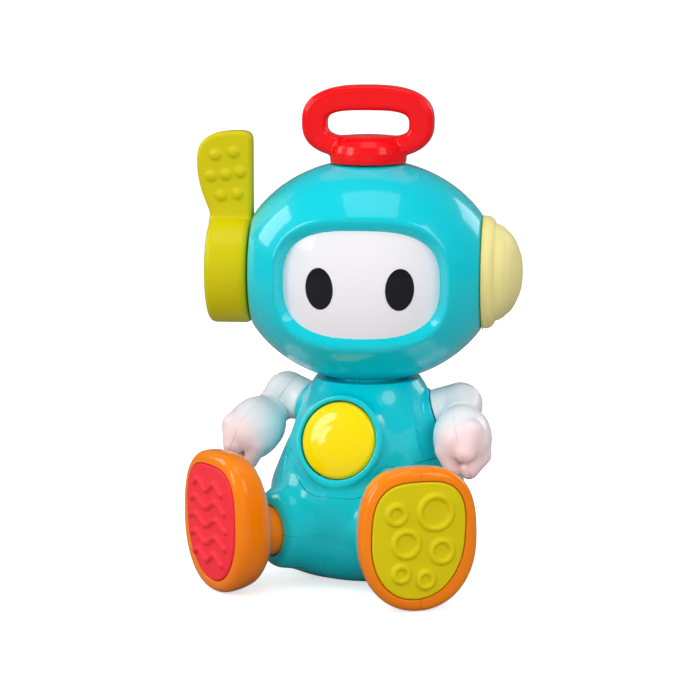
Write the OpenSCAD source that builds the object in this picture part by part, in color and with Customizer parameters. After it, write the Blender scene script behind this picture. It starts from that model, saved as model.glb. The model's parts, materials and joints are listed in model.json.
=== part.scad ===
// Seated activity robot for a baby: round helmet head on a turning neck, lever
// antenna on one ear, squeaker on the other, belly button, two-part arms and
// textured feet. Origin on the body axis at the ground, +Z up, chest faces -Y,
// the robot's own left is +X.

/* [Shells] */
// Wall of the helmet and body shells
wall = 2.4; // [2.2:0.1:2.6]
// Gap between two shells that meet at a seam
seam_gap = 0.05; // [0.02:0.01:0.1]

/* [Head] */
// Half width of the helmet along the ear axis
head_hx = 59; // [58.5:0.5:60]
// Radius of the helmet around the ear axis
head_r = 50; // [49.5:0.5:50.5]
// Height of the helmet centre above the ground
head_z = 136.5; // [136.4:0.1:136.8]
// Distance of each flat ear from the head centre
ear_x = 51.4; // [51.2:0.1:51.5]
// Turn of the head on the neck at rest, degrees
head_yaw = 15; // [0:5:30]

/* [Face] */
// Half width of the window in the helmet
face_hw = 34.6; // [33.5:0.1:35]
// Half height of the window in the helmet
face_hh = 23.7; // [23:0.1:24.5]
// Drop of the window's middle below the ear axis
face_drop = 0.7; // [0:0.1:1.5]
// Distance of each eye from the centre line
eye_x = 17.5; // [16:0.5:19]

/* [Carry ring] */
// Half width of the ring
ring_hw = 29.5; // [28:0.5:31]
// Half height of the ring
ring_hh = 16.5; // [16:0.1:17]
// Depth of the ring, front to back
ring_depth = 13; // [11:0.5:14]

/* [Body] */
// Height of the seam between base and hip shells, through the leg axes
seam_low = 24; // [24:1:24]
// Height of the chest seam at the sides and back
seam_high = 55.5; // [54:0.5:57]
// Depth of the bib where the chest seam dips at the front
bib_drop = 14.2; // [10:0.2:15]

/* [Button] */
// Radius of the belly button lens
button_r = 17.1; // [16.8:0.1:17.2]
// Upward tilt of the button axis, degrees
button_tilt = 16; // [14:1:18]

/* [Arms] */
// Radius of the upper arm
arm_r = 9.7; // [9.5:0.1:9.9]
// Largest radius of the forearm
fist_r = 13; // [12.5:0.1:13]
// Distance from the shoulder face to the elbow centre
arm_len = 11.6; // [11.4:0.1:12]
// How much higher the left arm rests than the right, degrees
left_raise = 9; // [0:1:12]

/* [Legs] */
// Angle of each leg out from straight ahead, degrees
leg_az = 36.5; // [35:0.5:40]
// Radius of the ankle stub that turns in the hip
ankle_r = 11.2; // [11.15:0.01:11.22]
// Height of the raised pattern on the soles
tread = 1.3; // [0.8:0.1:1.6]

/* [Hidden] */
$fn = 64;

teal = [0, 0.78, 0.84];
red = [1, 0.05, 0.08];
lime = [0.83, 0.78, 0.1];
cream = [0.94, 0.89, 0.6];
yellow = [1, 0.9, 0];
orange = [1, 0.5, 0];
coral = [1, 0.3, 0.35];
white = [0.97, 0.96, 0.98];
natural = [0.85, 0.85, 0.82];
steel = [0.7, 0.72, 0.75];

function sgn(v) = v < 0 ? -1 : 1;
function sup(a, b, n, N = 40) = [for (i = [0:N - 1]) let (t = 360 * i / N)
  [a * sgn(cos(t)) * pow(abs(cos(t)), 2 / n), b * sgn(sin(t)) * pow(abs(sin(t)), 2 / n)]];
function unit(v) = v / norm(v);
function smooth(t) = let (u = min(1, max(0, t))) u * u * (3 - 2 * u);

// turns local +Z to the direction d
module toward(d) { rotate([0, acos(d[2] / norm(d)), atan2(d[1], d[0])]) children(); }
module about_x() { rotate([0, 90, 0]) rotate_extrude() children(); }

// ---------------------------------------------------------------- body shape
base_r = 22.5;
round_r = 20.25;
side = [[44, 28], [44.2, 34], [43.4, 41.4], [40, 50.5], [37.4, 56.8], [33.8, 64.5],
  [30.2, 74], [26.6, 83.6], [23.3, 88.8]];
module body_outline() {
  polygon(concat([for (i = [0:8]) let (t = -90 + 11.25 * i)
      [base_r + round_r * cos(t), round_r + round_r * sin(t)]], side,
    [for (i = [len(side) - 1:-1:0]) [-side[i][0], side[i][1]]],
    [for (i = [8:-1:0]) let (t = -90 + 11.25 * i)
      [-base_r - round_r * cos(t), round_r + round_r * sin(t)]]));
}
module right_half() { translate([0, -10]) square([100, 200]); }
module body_solid(d) {
  rotate_extrude($fn = 96) intersection() {
    if (d > 0) offset(delta = -d) body_outline(); else body_outline();
    right_half();
  }
}
module body_wall() { difference() { body_solid(0); body_solid(wall); } }
// everything above the chest seam, raised by g
module above_seam(g) {
  translate([-70, -0.01, seam_high + g]) cube([140, 71, 100]);
  translate([0, 0, g]) rotate([90, 0, 0]) linear_extrude(height = 70)
    polygon(concat([[-70, 150], [-70, seam_high]],
      [for (i = [-17:17]) let (x = 2 * i)
        [x, seam_high - bib_drop + bib_drop * smooth((abs(x) - 8) / 26)]],
      [[70, seam_high], [70, 150]]));
}

// ---------------------------------------------------------------- local frames
module head_frame() { translate([0, 0, head_z]) rotate([0, 0, head_yaw]) children(); }
module button_frame() { translate([0, -35.5, 65.5]) rotate([90 - button_tilt, 0, 0]) children(); }
shoulder = [31, 4, 74];
s_dir = unit([0.93, 0.2, 0.3]);
f_raw = [0.31, -0.76, -0.575];
f_dir = unit(f_raw - s_dir * (f_raw * s_dir));
elbow = shoulder + arm_len * s_dir;
module shoulder_frame() { translate(shoulder) toward(s_dir) children(); }
module elbow_frame() { translate(elbow) toward(f_dir) children(); }
// local z runs out along the leg, local x is up, local y points inward
module leg_frame() { translate([0, 0, seam_low]) rotate([0, 90, leg_az - 90]) rotate([0, 0, 180]) children(); }
module both() { children(); mirror([1, 0, 0]) children(); }

// ---------------------------------------------------------------- hip bosses
module boss_add() { both() leg_frame() rotate_extrude() polygon([[0, 33], [17.5, 33], [17.5, 45], [16.8, 48], [15.4, 50.6], [13.6, 52], [0, 52]]); }
module boss_cut() {
  both() leg_frame() {
    translate([0, 0, 32]) cylinder(r = 14.6, h = 10);
    translate([0, 0, 41]) cylinder(r = ankle_r + 0.08, h = 13);
  }
}
base_posts = [[27, 17], [-27, 17], [0, -18]];
chest_posts = [[23, 15], [-23, 15]];
grille = [for (i = [-2:2]) for (j = [-2:2]) if (abs(i + j) <= 2) [4.4 * (i + j / 2), 3.8 * j]];
module chest_cup() {
  difference() {
    intersection() { body_wall(); above_seam(seam_gap); }
    translate([0, 0, 80]) cylinder(r = 16.1, h = 12);
  }
}
module button_collar() {
  difference() {
    button_frame() rotate_extrude()
      polygon([[17.6, -14], [17.6, 2.2], [18.6, 2.8], [19.6, 2.5], [20.2, 1.2], [21, -1.5],
        [22.5, -4.5], [24.5, -9], [25, -14]]);
    translate([0, 0, 80]) cylinder(r = 20.6, h = 6.4);
  }
}
module chest_shell() {
  color(teal) difference() {
    union() {
      difference() {
        chest_cup();
        button_frame() translate([0, 0, -9]) cylinder(r = 21, h = 20);
      }
      button_collar();
      both() shoulder_frame() translate([0, 0, -9]) cylinder(r = 10.6, h = 8.75);
      for (p = chest_posts) translate([p[0], p[1], seam_high + seam_gap]) cylinder(r = 3.2, h = 10);
      intersection() {
        for (p = chest_posts) translate([p[0], p[1], seam_high + seam_gap + 2])
          rotate([0, 0, atan2(p[1], p[0])]) translate([0, -0.8, 0]) cube([12, 1.6, 8]);
        body_solid(0);
      }
    }
    button_frame() translate([0, 0, -15]) cylinder(r = 19.4, h = 12);
    both() shoulder_frame() translate([0, 0, -12]) cylinder(r = 5.06, h = 14);
    for (p = chest_posts) translate([p[0], p[1], seam_high - 1]) cylinder(r = 1.45, h = 10);
  }
}
module hip_shell() {
  color(teal) difference() {
    union() {
      intersection() {
        union() { body_wall(); boss_add(); }
        translate([-80, -80, seam_low + seam_gap]) cube([160, 160, 100]);
      }
      for (p = base_posts) translate([p[0], p[1], seam_low + seam_gap]) cylinder(r = 3.4, h = 12);
      for (p = [base_posts[0], base_posts[1]]) intersection() {
        translate([p[0], p[1], seam_low + seam_gap]) rotate([0, 0, atan2(p[1], p[0])])
          translate([0, -0.8, 0]) cube([15, 1.6, 10]);
        body_solid(0);
      }
      translate([-1, -42.6, seam_low + seam_gap]) cube([2, 22.6, 4]);
      for (p = chest_posts) intersection() {
        translate([p[0], p[1], seam_high - 12]) union() {
          cylinder(r = 3.4, h = 12);
          rotate([0, 0, atan2(p[1], p[0])]) translate([0, -0.8, 0]) cube([18, 1.6, 11.5]);
        }
        body_solid(0);
      }
    }
    above_seam(0);
    boss_cut();
    for (p = base_posts) translate([p[0], p[1], seam_low - 1]) cylinder(r = 1.45, h = 11);
    for (p = chest_posts) translate([p[0], p[1], seam_high - 13]) {
      cylinder(r = 1.7, h = 20);
      cylinder(r = 2.9, h = 7);
    }
    for (g = grille) translate([g[0], 36, 40 + g[1]]) rotate([-90, 0, 0]) cylinder(r = 1.1, h = 14);
  }
}
module door_prism(d) {
  translate([0, 0, -1]) linear_extrude(height = 8) offset(r = 3) square([44 + 2 * d, 20 + 2 * d], center = true);
}
module base_shell() {
  color(teal) difference() {
    union() {
      intersection() {
        union() { body_wall(); boss_add(); }
        translate([-80, -80, -1]) cube([160, 160, seam_low + 1 - seam_gap]);
      }
      for (p = base_posts) intersection() {
        translate([p[0], p[1], 0]) cylinder(r = 3.6, h = seam_low - seam_gap);
        body_solid(0);
      }
    }
    boss_cut();
    door_prism(0.2);
    for (p = base_posts) translate([p[0], p[1], -1]) {
      cylinder(r = 1.7, h = 30);
      cylinder(r = 3, h = 12);
    }
  }
}
module battery_door() {
  color(teal) difference() {
    intersection() { body_wall(); door_prism(0); }
    translate([21, 0, -1]) { cylinder(r = 1.5, h = 8); cylinder(r = 2.7, h = 2.2); }
  }
}
module battery_door_screw() {
  color(steel) translate([21, 0, 0]) difference() {
    union() { translate([0, 0, 0.25]) cylinder(r = 2.6, h = 0.9); translate([0, 0, 1.1]) cylinder(r = 1.35, h = 3.1); }
    for (q = [0, 90]) rotate([0, 0, q]) translate([-1.6, -0.3, 0]) cube([3.2, 0.6, 0.75]);
  }
}
module battery_tray() {
  color(white) difference() {
    translate([-25.5, -13.2, 4.5]) cube([51, 26.4, 11.5]);
    translate([-24, -11.8, 3]) cube([48, 23.6, 11.4]);
  }
}
module batteries() {
  color([0.35, 0.5, 0.3]) for (k = [-1, 1]) translate([-21.9 * k, 5.5 * k, 8.6]) rotate([0, 90 * k, 0]) {
    cylinder(r = 5.15, h = 43);
    translate([0, 0, 43]) cylinder(r = 1.9, h = 0.8);
  }
}
module battery_contacts() {
  color(steel) for (k = [-1, 1]) {
    translate([k > 0 ? 23.3 : -23.7, -10.6, 5]) cube([0.4, 21.2, 8]);
    translate([k * -22.4, 5.5 * k, 8.6]) rotate([0, 90, 0]) difference() { cylinder(r = 2.6, h = 0.7, center = true); cylinder(r = 1.8, h = 2, center = true); }
  }
}
module circuit_board() {
  color([0.1, 0.45, 0.25]) button_frame() translate([0, 0, -16.7]) difference() {
    linear_extrude(height = 1.6) offset(r = 2) square([27, 24], center = true);
    for (k = [-1, 1]) translate([12 * k, 10, -1]) cylinder(r = 1.3, h = 4);
  }
}
module switch_pad() {
  color([0.8, 0.8, 0.85]) button_frame() translate([0, 0, -15.05]) rotate_extrude()
    polygon([[0, 0], [6, 0], [6, 0.9], [4.6, 1.2], [3.4, 2.9], [2.6, 3.4], [0, 3.4]]);
}
module leds() {
  color([0.95, 0.95, 0.9]) button_frame() for (k = [-1, 1]) translate([9.5 * k, -6, -15.05]) {
    cylinder(r = 1.5, h = 2.2);
    translate([0, 0, 2.2]) intersection() { sphere(r = 1.5, $fn = 32); cylinder(r = 2, h = 2); }
  }
}
module speaker() {
  color([0.25, 0.25, 0.28]) translate([0, 35.4, 40]) rotate([90, 0, 0]) rotate_extrude()
    polygon([[0, 1.2], [6, 1.6], [10.4, 0.4], [12.6, 0], [12.6, 2.4], [9, 4.6], [7.6, 7.5], [0, 7.5]]);
}
module pan_screw(l, r = 1.4, hr = 2.7, hh = 1.7) {
  difference() {
    union() { translate([0, 0, -hh]) cylinder(r = hr, h = hh); cylinder(r = r, h = l); }
    for (a = [0, 90]) rotate([0, 0, a]) translate([-1.6, -0.35, -hh - 1]) cube([3.2, 0.7, 1.9]);
  }
}
module body_screws() { color(steel) for (p = base_posts) translate([p[0], p[1], 10.95]) pan_screw(21); }
module chest_screws() { color(steel) for (p = chest_posts) translate([p[0], p[1], seam_high - 6.05]) pan_screw(13); }

// ---------------------------------------------------------------- button
module button_lens() {
  color(yellow) button_frame() rotate_extrude()
    polygon([[0, 2.9], [6, 2.65], [11, 2], [15, 0.8], [15, -3], [button_r, -3],
      [button_r, 1.5], [16.2, 2.5], [13.5, 3.5], [9.5, 4.4], [5, 5], [0, 5.2]]);
}
module button_carrier() {
  color(natural) button_frame() union() {
    rotate_extrude() polygon([[9, -5], [19, -5], [19, -3.2], [9, -3.2]]);
    for (a = [0, 60, 120]) rotate([0, 0, a]) translate([-10, -1, -5]) cube([20, 2, 1.8]);
    translate([0, 0, -9]) cylinder(r = 2.4, h = 4.5);
  }
}

// ---------------------------------------------------------------- head
split_y = 10;
module head_lobe(d) {
  about_x() polygon([for (i = [0:24]) let (t = -90 + 7.5 * i) [(head_r - d) * cos(t), (head_hx - d) * sin(t)]]);
}
module head_solid(d) {
  intersection() {
    head_lobe(d);
    // the floor is a little thicker than the wall, for the neck flange
    translate([-(ear_x - d), -60, -47.4 + (d > 0 ? d + 0.9 : 0)]) cube([2 * (ear_x - d), 120, 95.7 - (d > 0 ? 2 * d + 0.9 : 0)]);
  }
}
module plate_lobe(d) {
  about_x() polygon([for (i = [0:24]) let (t = -90 + 7.5 * i) [(42.5 + d) * cos(t), (52 + d) * sin(t)]]);
}
module window(a, b) { translate([0, 0, -face_drop]) rotate([90, 0, 0]) linear_extrude(height = 62) polygon(sup(a, b, 2.7)); }
head_posts = [[40, 29], [-40, 29], [40, -29], [-40, -29]];
module head_wall() {
  difference() {
    head_solid(0);
    head_solid(wall);
    translate([0, 0, -60]) cylinder(r = 16.2, h = 20);
    translate([-60, 0, 0]) rotate([0, 90, 0]) cylinder(r = 5.06, h = 20);
    translate([45, 0, 0]) rotate([0, 90, 0]) cylinder(r = 9, h = 12);
    translate([0, 0, 40]) cylinder(r = 7.1, h = 20);
  }
}
module head_front_shell() {
  color(teal) head_frame() difference() {
    union() {
      intersection() { head_wall(); translate([-80, -80, -80]) cube([160, 80 + split_y - seam_gap, 160]); }
      difference() {
        intersection() { head_solid(0); window(39.6, 31); }
        plate_lobe(0.15);
      }
      intersection() {
        for (p = head_posts) translate([p[0], -14, p[1]]) rotate([-90, 0, 0]) cylinder(r = 4, h = 14 + split_y - seam_gap);
        head_solid(0);
      }
      translate([-ear_x + wall - 0.5, 0, 0]) rotate([0, 90, 0]) difference() { cylinder(r = 8, h = 5.5); translate([0, 0, -1]) cylinder(r = 5.06, h = 8); }
      translate([-ear_x + wall - 0.5, -17, 12.4]) rotate([0, 90, 0]) cylinder(r = 3, h = 5.6);
    }
    window(face_hw, face_hh);
    for (p = head_posts) translate([p[0], -8, p[1]]) rotate([-90, 0, 0]) cylinder(r = 1.45, h = 20);
  }
}
module head_rear_shell() {
  color(teal) head_frame() difference() {
    union() {
      intersection() { head_wall(); translate([-80, split_y, -80]) cube([160, 80, 160]); }
      intersection() {
        for (p = head_posts) translate([p[0], split_y, p[1]]) rotate([-90, 0, 0]) cylinder(r = 4, h = 20);
        head_solid(0);
      }
    }
    for (p = head_posts) translate([p[0], split_y - 1, p[1]]) rotate([-90, 0, 0]) {
      cylinder(r = 1.7, h = 20);
      translate([0, 0, 5]) cylinder(r = 3, h = 20);
    }
  }
}
module head_screws() {
  color(steel) head_frame() for (p = head_posts) translate([p[0], split_y + 4.05, p[1]]) rotate([90, 0, 0]) pan_screw(18);
}
module face_plate() {
  color(white) head_frame() intersection() {
    difference() { plate_lobe(0); plate_lobe(-2.4); }
    window(37.8, 27.6);
    translate([-60, -60, -60]) cube([120, 50, 120]);
  }
}
module eye(k) {
  color([0.1, 0.1, 0.11]) head_frame() intersection() {
    difference() { plate_lobe(0.5); plate_lobe(0.03); }
    translate([k * eye_x, -20, -3.2]) rotate([0, k * 3, 0]) rotate([90, 0, 0])
      linear_extrude(height = 40) polygon(sup(6.15, 9.2, 2, 32));
  }
}
module eye_right() { eye(-1); }
module eye_left() { eye(1); }

// ---------------------------------------------------------------- carry ring
module handle() {
  color(red) head_frame() difference() {
    union() {
      translate([0, ring_depth / 2, 66.4]) rotate([90, 0, 0]) linear_extrude(height = ring_depth)
        difference() { polygon(sup(ring_hw, ring_hh, 2.6, 48)); translate([0, -0.9]) polygon(sup(18.1, 5.8, 3.2, 48)); }
      difference() {
        rotate_extrude() polygon([[0, 48.35], [16.8, 48.35], [17, 50], [16.7, 53], [15.8, 56], [14, 58.6], [11.5, 60.4], [8, 61.2], [0, 61.4]]);
      }
      translate([0, 0, 45.95]) cylinder(r = 7, h = 4);
    }
    for (k = [-1, 1]) translate([4 * k, 0, 40]) cylinder(r = 1.45, h = 15.5);
  }
}
module handle_retainer() {
  color(natural) head_frame() difference() {
    translate([0, 0, 43.3]) cylinder(r = 12, h = 2.5);
    for (k = [-1, 1]) translate([4 * k, 0, 40]) cylinder(r = 1.7, h = 15);
  }
}
module handle_screws() { color(steel) head_frame() for (k = [-1, 1]) translate([4 * k, 0, 43.25]) pan_screw(11); }

// ---------------------------------------------------------------- neck
module neck_turret() {
  color(teal) translate([0, 0, 0]) difference() {
    union() {
      translate([0, 0, 86.3]) cylinder(r = 16, h = 7);
      translate([0, 0, 92.5]) cylinder(r = 17.4, h = 2.4);
    }
    translate([0, 0, 80]) cylinder(r = 8, h = 20);
    for (a = [30, 150, 270]) rotate([0, 0, a]) translate([12, 0, 80]) cylinder(r = 1.45, h = 20);
  }
}
module neck_retainer() {
  color(natural) difference() {
    translate([0, 0, 83.4]) cylinder(r = 19, h = 2.8);
    translate([0, 0, 80]) cylinder(r = 8, h = 20);
    for (a = [30, 150, 270]) rotate([0, 0, a]) translate([12, 0, 80]) { cylinder(r = 1.7, h = 20); cylinder(r = 3, h = 4.9); }
  }
}
module neck_screws() { color(steel) for (a = [30, 150, 270]) rotate([0, 0, a]) translate([12, 0, 84.85]) pan_screw(8, hh = 1.4); }

// ---------------------------------------------------------------- squeaker
module squeaker_skirt() {
  color(cream) head_frame() about_x() polygon([[5.3, 46.6], [8.9, 46.6], [8.9, 51.45], [24.6, 51.45],
    [25.1, 52.7], [24.9, 54.4], [23.9, 55.9], [21.8, 56.9], [21.5, 58], [20.6, 59.2], [20.1, 61], [19.6, 61.4],
    [19.6, 53.2], [5.3, 53.2]]);
}
module squeaker_ring() { color(natural) head_frame() about_x() polygon([[8.95, 46.6], [20, 46.6], [20, 48.9], [8.95, 48.9]]); }
module squeaker_reed() {
  color(steel) head_frame() about_x() polygon([[1.4, 46.8], [5.2, 46.8], [5.2, 52.9], [3.6, 52.9], [3.6, 49], [1.4, 49]]);
}
module squeaker_cap() {
  color(cream) head_frame() about_x() polygon([[0, 69], [5, 68.8], [10.4, 67.6], [15.8, 64.8],
    [18, 62.8], [19.2, 61.4], [19.2, 58.4], [17, 58.4], [17, 60.8], [14.4, 63.4], [9.8, 65.7],
    [4.6, 66.8], [0, 67]]);
}

// ---------------------------------------------------------------- antenna
module antenna_side() { head_frame() mirror([1, 0, 0]) children(); }
module antenna_lever() {
  color(lime) antenna_side() difference() {
    union() {
      about_x() polygon([[0, 51.8], [23.4, 51.8], [24.1, 52.6], [24.1, 66], [22.9, 69], [20.2, 71], [0, 71]]);
      translate([0, 5.5, 0]) rotate([90, 0, 0]) linear_extrude(height = 11)
        polygon([[51.8, 0], [51.8, 58], [53, 60.8], [54.8, 61.9], [61, 62], [67.7, 61], [72.6, 59.2], [75.6, 56.8],
          [77.2, 53], [77.9, 48.2], [77.5, 42.5], [75.9, 35.9], [72.9, 29.3], [70.9, 24.5], [70.7, 0]]);
      for (b = [[69.9, 51.5], [61.2, 52.7], [71.3, 42.1], [64.8, 42.8], [57.9, 43.8], [66.9, 33.4], [59.6, 34.2]])
        translate([b[0], -4.1, b[1]]) sphere(r = 3, $fn = 32);
    }
    about_x() polygon([[8, 50], [21, 50], [21, 67.5], [8, 67.5]]);
    translate([50, 0, 0]) rotate([0, 90, 0]) { cylinder(r = 5.05, h = 10.5); cylinder(r = 1.45, h = 17); }
  }
}
module antenna_ratchet() {
  color(natural) antenna_side() difference() {
    union() {
      translate([43.6, 0, 0]) rotate([0, 90, 0]) cylinder(r = 5, h = 16.6);
      translate([40.8, 0, 0]) rotate([0, 90, 0]) cylinder(r = 9.6, h = 2.9);
      for (a = [15:30:345]) rotate([a, 0, 0]) translate([40.8, 0, 9.6]) rotate([0, 90, 0]) cylinder(r = 1.4, h = 2.9, $fn = 24);
    }
    translate([30, 0, 0]) rotate([0, 90, 0]) cylinder(r = 1.6, h = 40);
  }
}
module antenna_screw() { color(steel) antenna_side() translate([40.7, 0, 0]) rotate([0, 90, 0]) pan_screw(24); }
module antenna_detent() {
  color(steel) antenna_side() union() {
    translate([40.8, -19, 11.6]) cube([2.2, 21, 0.5]);
    translate([43.05, -17, 12.4]) rotate([0, -90, 0]) cylinder(r = 2.4, h = 2.2);
  }
}

// ---------------------------------------------------------------- arms (robot's left)
module arm_solid(d) {
  shoulder_frame() {
    translate([0, 0, 0.15 + d]) cylinder(r = arm_r - d, h = arm_len - 0.15 - d);
    translate([0, 0, arm_len]) sphere(r = arm_r - d);
  }
  elbow_frame() cylinder(r = 8.6 - d, h = 10.2 - d);
}
arm_seam = 8;
module upper_arm() {
  difference() {
    arm_solid(0);
    arm_solid(2);
    shoulder_frame() translate([0, 0, -1]) cylinder(r = 5.1, h = 5);
    elbow_frame() translate([0, 0, 6]) cylinder(r = 4.57, h = 6);
  }
}
module upper_arm_inner_shell() {
  intersection() { upper_arm(); shoulder_frame() translate([-30, -30, -5]) cube([60, 60, 5 + arm_seam - seam_gap]); }
}
module upper_arm_outer_shell() {
  intersection() { upper_arm(); shoulder_frame() translate([-30, -30, arm_seam]) cube([60, 60, 40]); }
}
module shoulder_hub() {
  shoulder_frame() difference() {
    union() {
      translate([0, 0, -9.2]) cylinder(r = 5, h = 12);
      translate([0, 0, 2.2]) cylinder(r = 7.4, h = 1.6);
    }
    translate([0, 0, -10]) cylinder(r = 1.45, h = 12);
  }
}
module shoulder_screw() {
  shoulder_frame() union() { translate([0, 0, -9.25]) pan_screw(10); translate([0, 0, -10.1]) difference() { cylinder(r = 6.6, h = 0.85); translate([0, 0, -1]) cylinder(r = 2.6, h = 3); } }
}
module forearm() {
  elbow_frame() difference() {
    union() {
      rotate_extrude() polygon([[0, 4.6], [6.2, 4.6], [6.2, 7.8], [4.5, 7.8], [4.5, 10.4], [8.3, 10.4], [8.5, 12.4],
        [10.6, 15], [12.4, 19], [fist_r, 24], [12.6, 29], [11.2, 34], [8.8, 38], [5.5, 40.3], [0, 40.8]]);
      for (a = [90, 210, 330]) rotate([0, 0, a]) translate([7.3, 0, 35]) sphere(r = 5.3, $fn = 32);
    }
    rotate_extrude() polygon([[0, 13], [7, 13.4], [8.8, 15.6], [10.4, 19.2], [fist_r - 2, 24], [10.6, 28.6], [8.6, 32.5], [0, 33]]);
    translate([0, 0, 32]) cylinder(r = 2.7, h = 12);
  }
}
// which way the seam plane of the forearm faces: across the shoulder axis
module forearm_half(k) {
  intersection() {
    forearm();
    translate(elbow) toward(s_dir) translate([-60, -60, k > 0 ? seam_gap / 2 : -60 - seam_gap / 2]) cube([120, 120, 60]);
  }
}
module raised() { translate(shoulder) rotate(a = -left_raise, v = s_dir) translate(-shoulder) children(); }
module upper_arm_inner_shell_left() { color(white) raised() upper_arm_inner_shell(); }
module upper_arm_outer_shell_left() { color(white) raised() upper_arm_outer_shell(); }
module shoulder_hub_left() { color(natural) raised() shoulder_hub(); }
module shoulder_screw_left() { color(steel) raised() shoulder_screw(); }
module forearm_outer_half_left() { color(white) raised() forearm_half(1); }
module forearm_inner_half_left() { color(white) raised() forearm_half(-1); }
module upper_arm_inner_shell_right() { color(white) mirror([1, 0, 0]) upper_arm_inner_shell(); }
module upper_arm_outer_shell_right() { color(white) mirror([1, 0, 0]) upper_arm_outer_shell(); }
module shoulder_hub_right() { color(natural) mirror([1, 0, 0]) shoulder_hub(); }
module shoulder_screw_right() { color(steel) mirror([1, 0, 0]) shoulder_screw(); }
module forearm_outer_half_right() { color(white) mirror([1, 0, 0]) forearm_half(1); }
module forearm_inner_half_right() { color(white) mirror([1, 0, 0]) forearm_half(-1); }

// ---------------------------------------------------------------- feet (robot's left)
// rounded outline, squarer above its middle than below
function crown(a, b, nt, nb, N = 36) = [for (i = [0:N - 1]) let (t = 360 * i / N, n = cos(t) > 0 ? nt : nb)
  [a * sgn(cos(t)) * pow(abs(cos(t)), 2 / n), b * sgn(sin(t)) * pow(abs(sin(t)), 2 / n)]];
// height of the middle of the foot above the leg axis
foot_up = 7.2;
// distance out, centre height, half height, half width
bell = [[60.4, 1.5, 15.4, 15], [62.6, 3.6, 21.8, 19.6], [66, 6, 27.8, 23.3], [70, foot_up, 30.3, 25.1],
  [74, foot_up, 31.1, 25.8], [78, foot_up, 31.2, 26], [81, foot_up, 29.6, 24.6], [82.5, foot_up, 26.8, 22]];
module bell_solid(d) {
  hull() for (b = bell) translate([b[1], 0, b[0] + (b[0] > 80 ? -d : d * 0.5)])
    linear_extrude(height = 0.05) polygon(crown(b[2] - d, b[3] - d, 2.7, 2.15));
}
function egg(d, N = 40) = [for (i = [0:N - 1]) let (t = 360 * i / N, v = sin(t), u = cos(t))
  [foot_up + 0.2 + (25.3 + d) * sgn(v) * pow(abs(v), v > 0 ? 0.64 : 0.94),
    -((20.5 + d) * sgn(u) * pow(abs(u), v > 0 ? 0.64 : 0.94) * (1 + 0.03 * v) + 1.1 * v - 1.1)]];
module foot(k) {
  difference() {
    intersection() {
      leg_frame() difference() {
        union() {
          difference() { bell_solid(0); bell_solid(wall); }
          intersection() {
            for (x = [25, -13]) translate([x, 0, 72]) rotate([90, 0, 0]) cylinder(r = 3, h = 60, center = true);
            bell_solid(0);
          }
        }
        translate([0, 0, 60]) cylinder(r = 11.3, h = 5);
        translate([0, 0, 62.9]) cylinder(r = 13.7, h = 3.2);
        translate([0, 0, 80]) linear_extrude(height = 5) polygon(egg(0.15));
      }
      leg_frame() translate([-60, k > 0 ? seam_gap / 2 : -60 - seam_gap / 2, 50]) cube([120, 60, 60]);
    }
    leg_frame() for (x = [25, -13]) translate([x, 0, 72]) rotate([90, 0, 0]) {
      cylinder(r = k > 0 ? 1.45 : 1.7, h = 24, center = true);
      if (k < 0) translate([0, 0, 6]) cylinder(r = 3 - 0.1, h = 40);
    }
  }
}
module leg_hub() {
  leg_frame() difference() {
    union() {
      translate([0, 0, 36.5]) cylinder(r = 14, h = 5.2);
      translate([0, 0, 41]) cylinder(r = ankle_r, h = 22);
      translate([0, 0, 63]) cylinder(r = 13.5, h = 3);
    }
    translate([0, 0, 30]) cylinder(r = 8.6, h = 40);
  }
}
module foot_screws() {
  leg_frame() for (x = [25, -13]) translate([x, -6.05, 72]) rotate([-90, 0, 0]) pan_screw(15);
}
module pad_base() { leg_frame() translate([0, 0, 80.05]) linear_extrude(height = 2.5) polygon(egg(0)); }
// raised rings, each [height, across, radius]
rings = [[12.3, 10, 5.1], [12.4, -7.3, 8.3], [-0.6, 5.7, 6.7], [-4.6, -10, 5.9], [-13.4, 7.9, 4.5], [-16.5, -3, 4.5]];
module sole_pad_left() {
  color(lime) union() {
    pad_base();
    leg_frame() for (r = rings) translate([r[0] + foot_up, r[1], 82.5]) rotate_extrude()
      polygon([[r[2] - 2.6, 0], [r[2], 0], [r[2] - 0.5, tread], [r[2] - 2.1, tread]]);
  }
}
// five separate raised waves across the sole, shorter towards the toe and the heel
wave_gap = 7.8;
function wave_len(i) = 15.4 - 0.9 * i * i;
function wave(i, h) = [for (k = [0:28]) let (q = -1 + k / 14)
  [foot_up + 0.6 + wave_gap * i + h + 1.8 * cos(300 * (q + 0.75)), wave_len(i) * q]];
module sole_pad_right() {
  color(coral) mirror([1, 0, 0]) union() {
    pad_base();
    leg_frame() translate([0, 0, 82.5]) linear_extrude(height = tread) intersection() {
      polygon(egg(-1.5));
      union() for (i = [-2:2]) let (w = wave(i, -1.3), v = wave(i, 1.3))
        polygon(concat(w, [for (j = [28:-1:0]) v[j]]));
    }
  }
}
module foot_inner_half_left() { color(orange) foot(1); }
module foot_outer_half_left() { color(orange) foot(-1); }
module leg_hub_left() { color(orange) leg_hub(); }
module foot_screws_left() { color(steel) foot_screws(); }
module foot_inner_half_right() { color(orange) mirror([1, 0, 0]) foot(1); }
module foot_outer_half_right() { color(orange) mirror([1, 0, 0]) foot(-1); }
module leg_hub_right() { color(orange) mirror([1, 0, 0]) leg_hub(); }
module foot_screws_right() { color(steel) mirror([1, 0, 0]) foot_screws(); }

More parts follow.
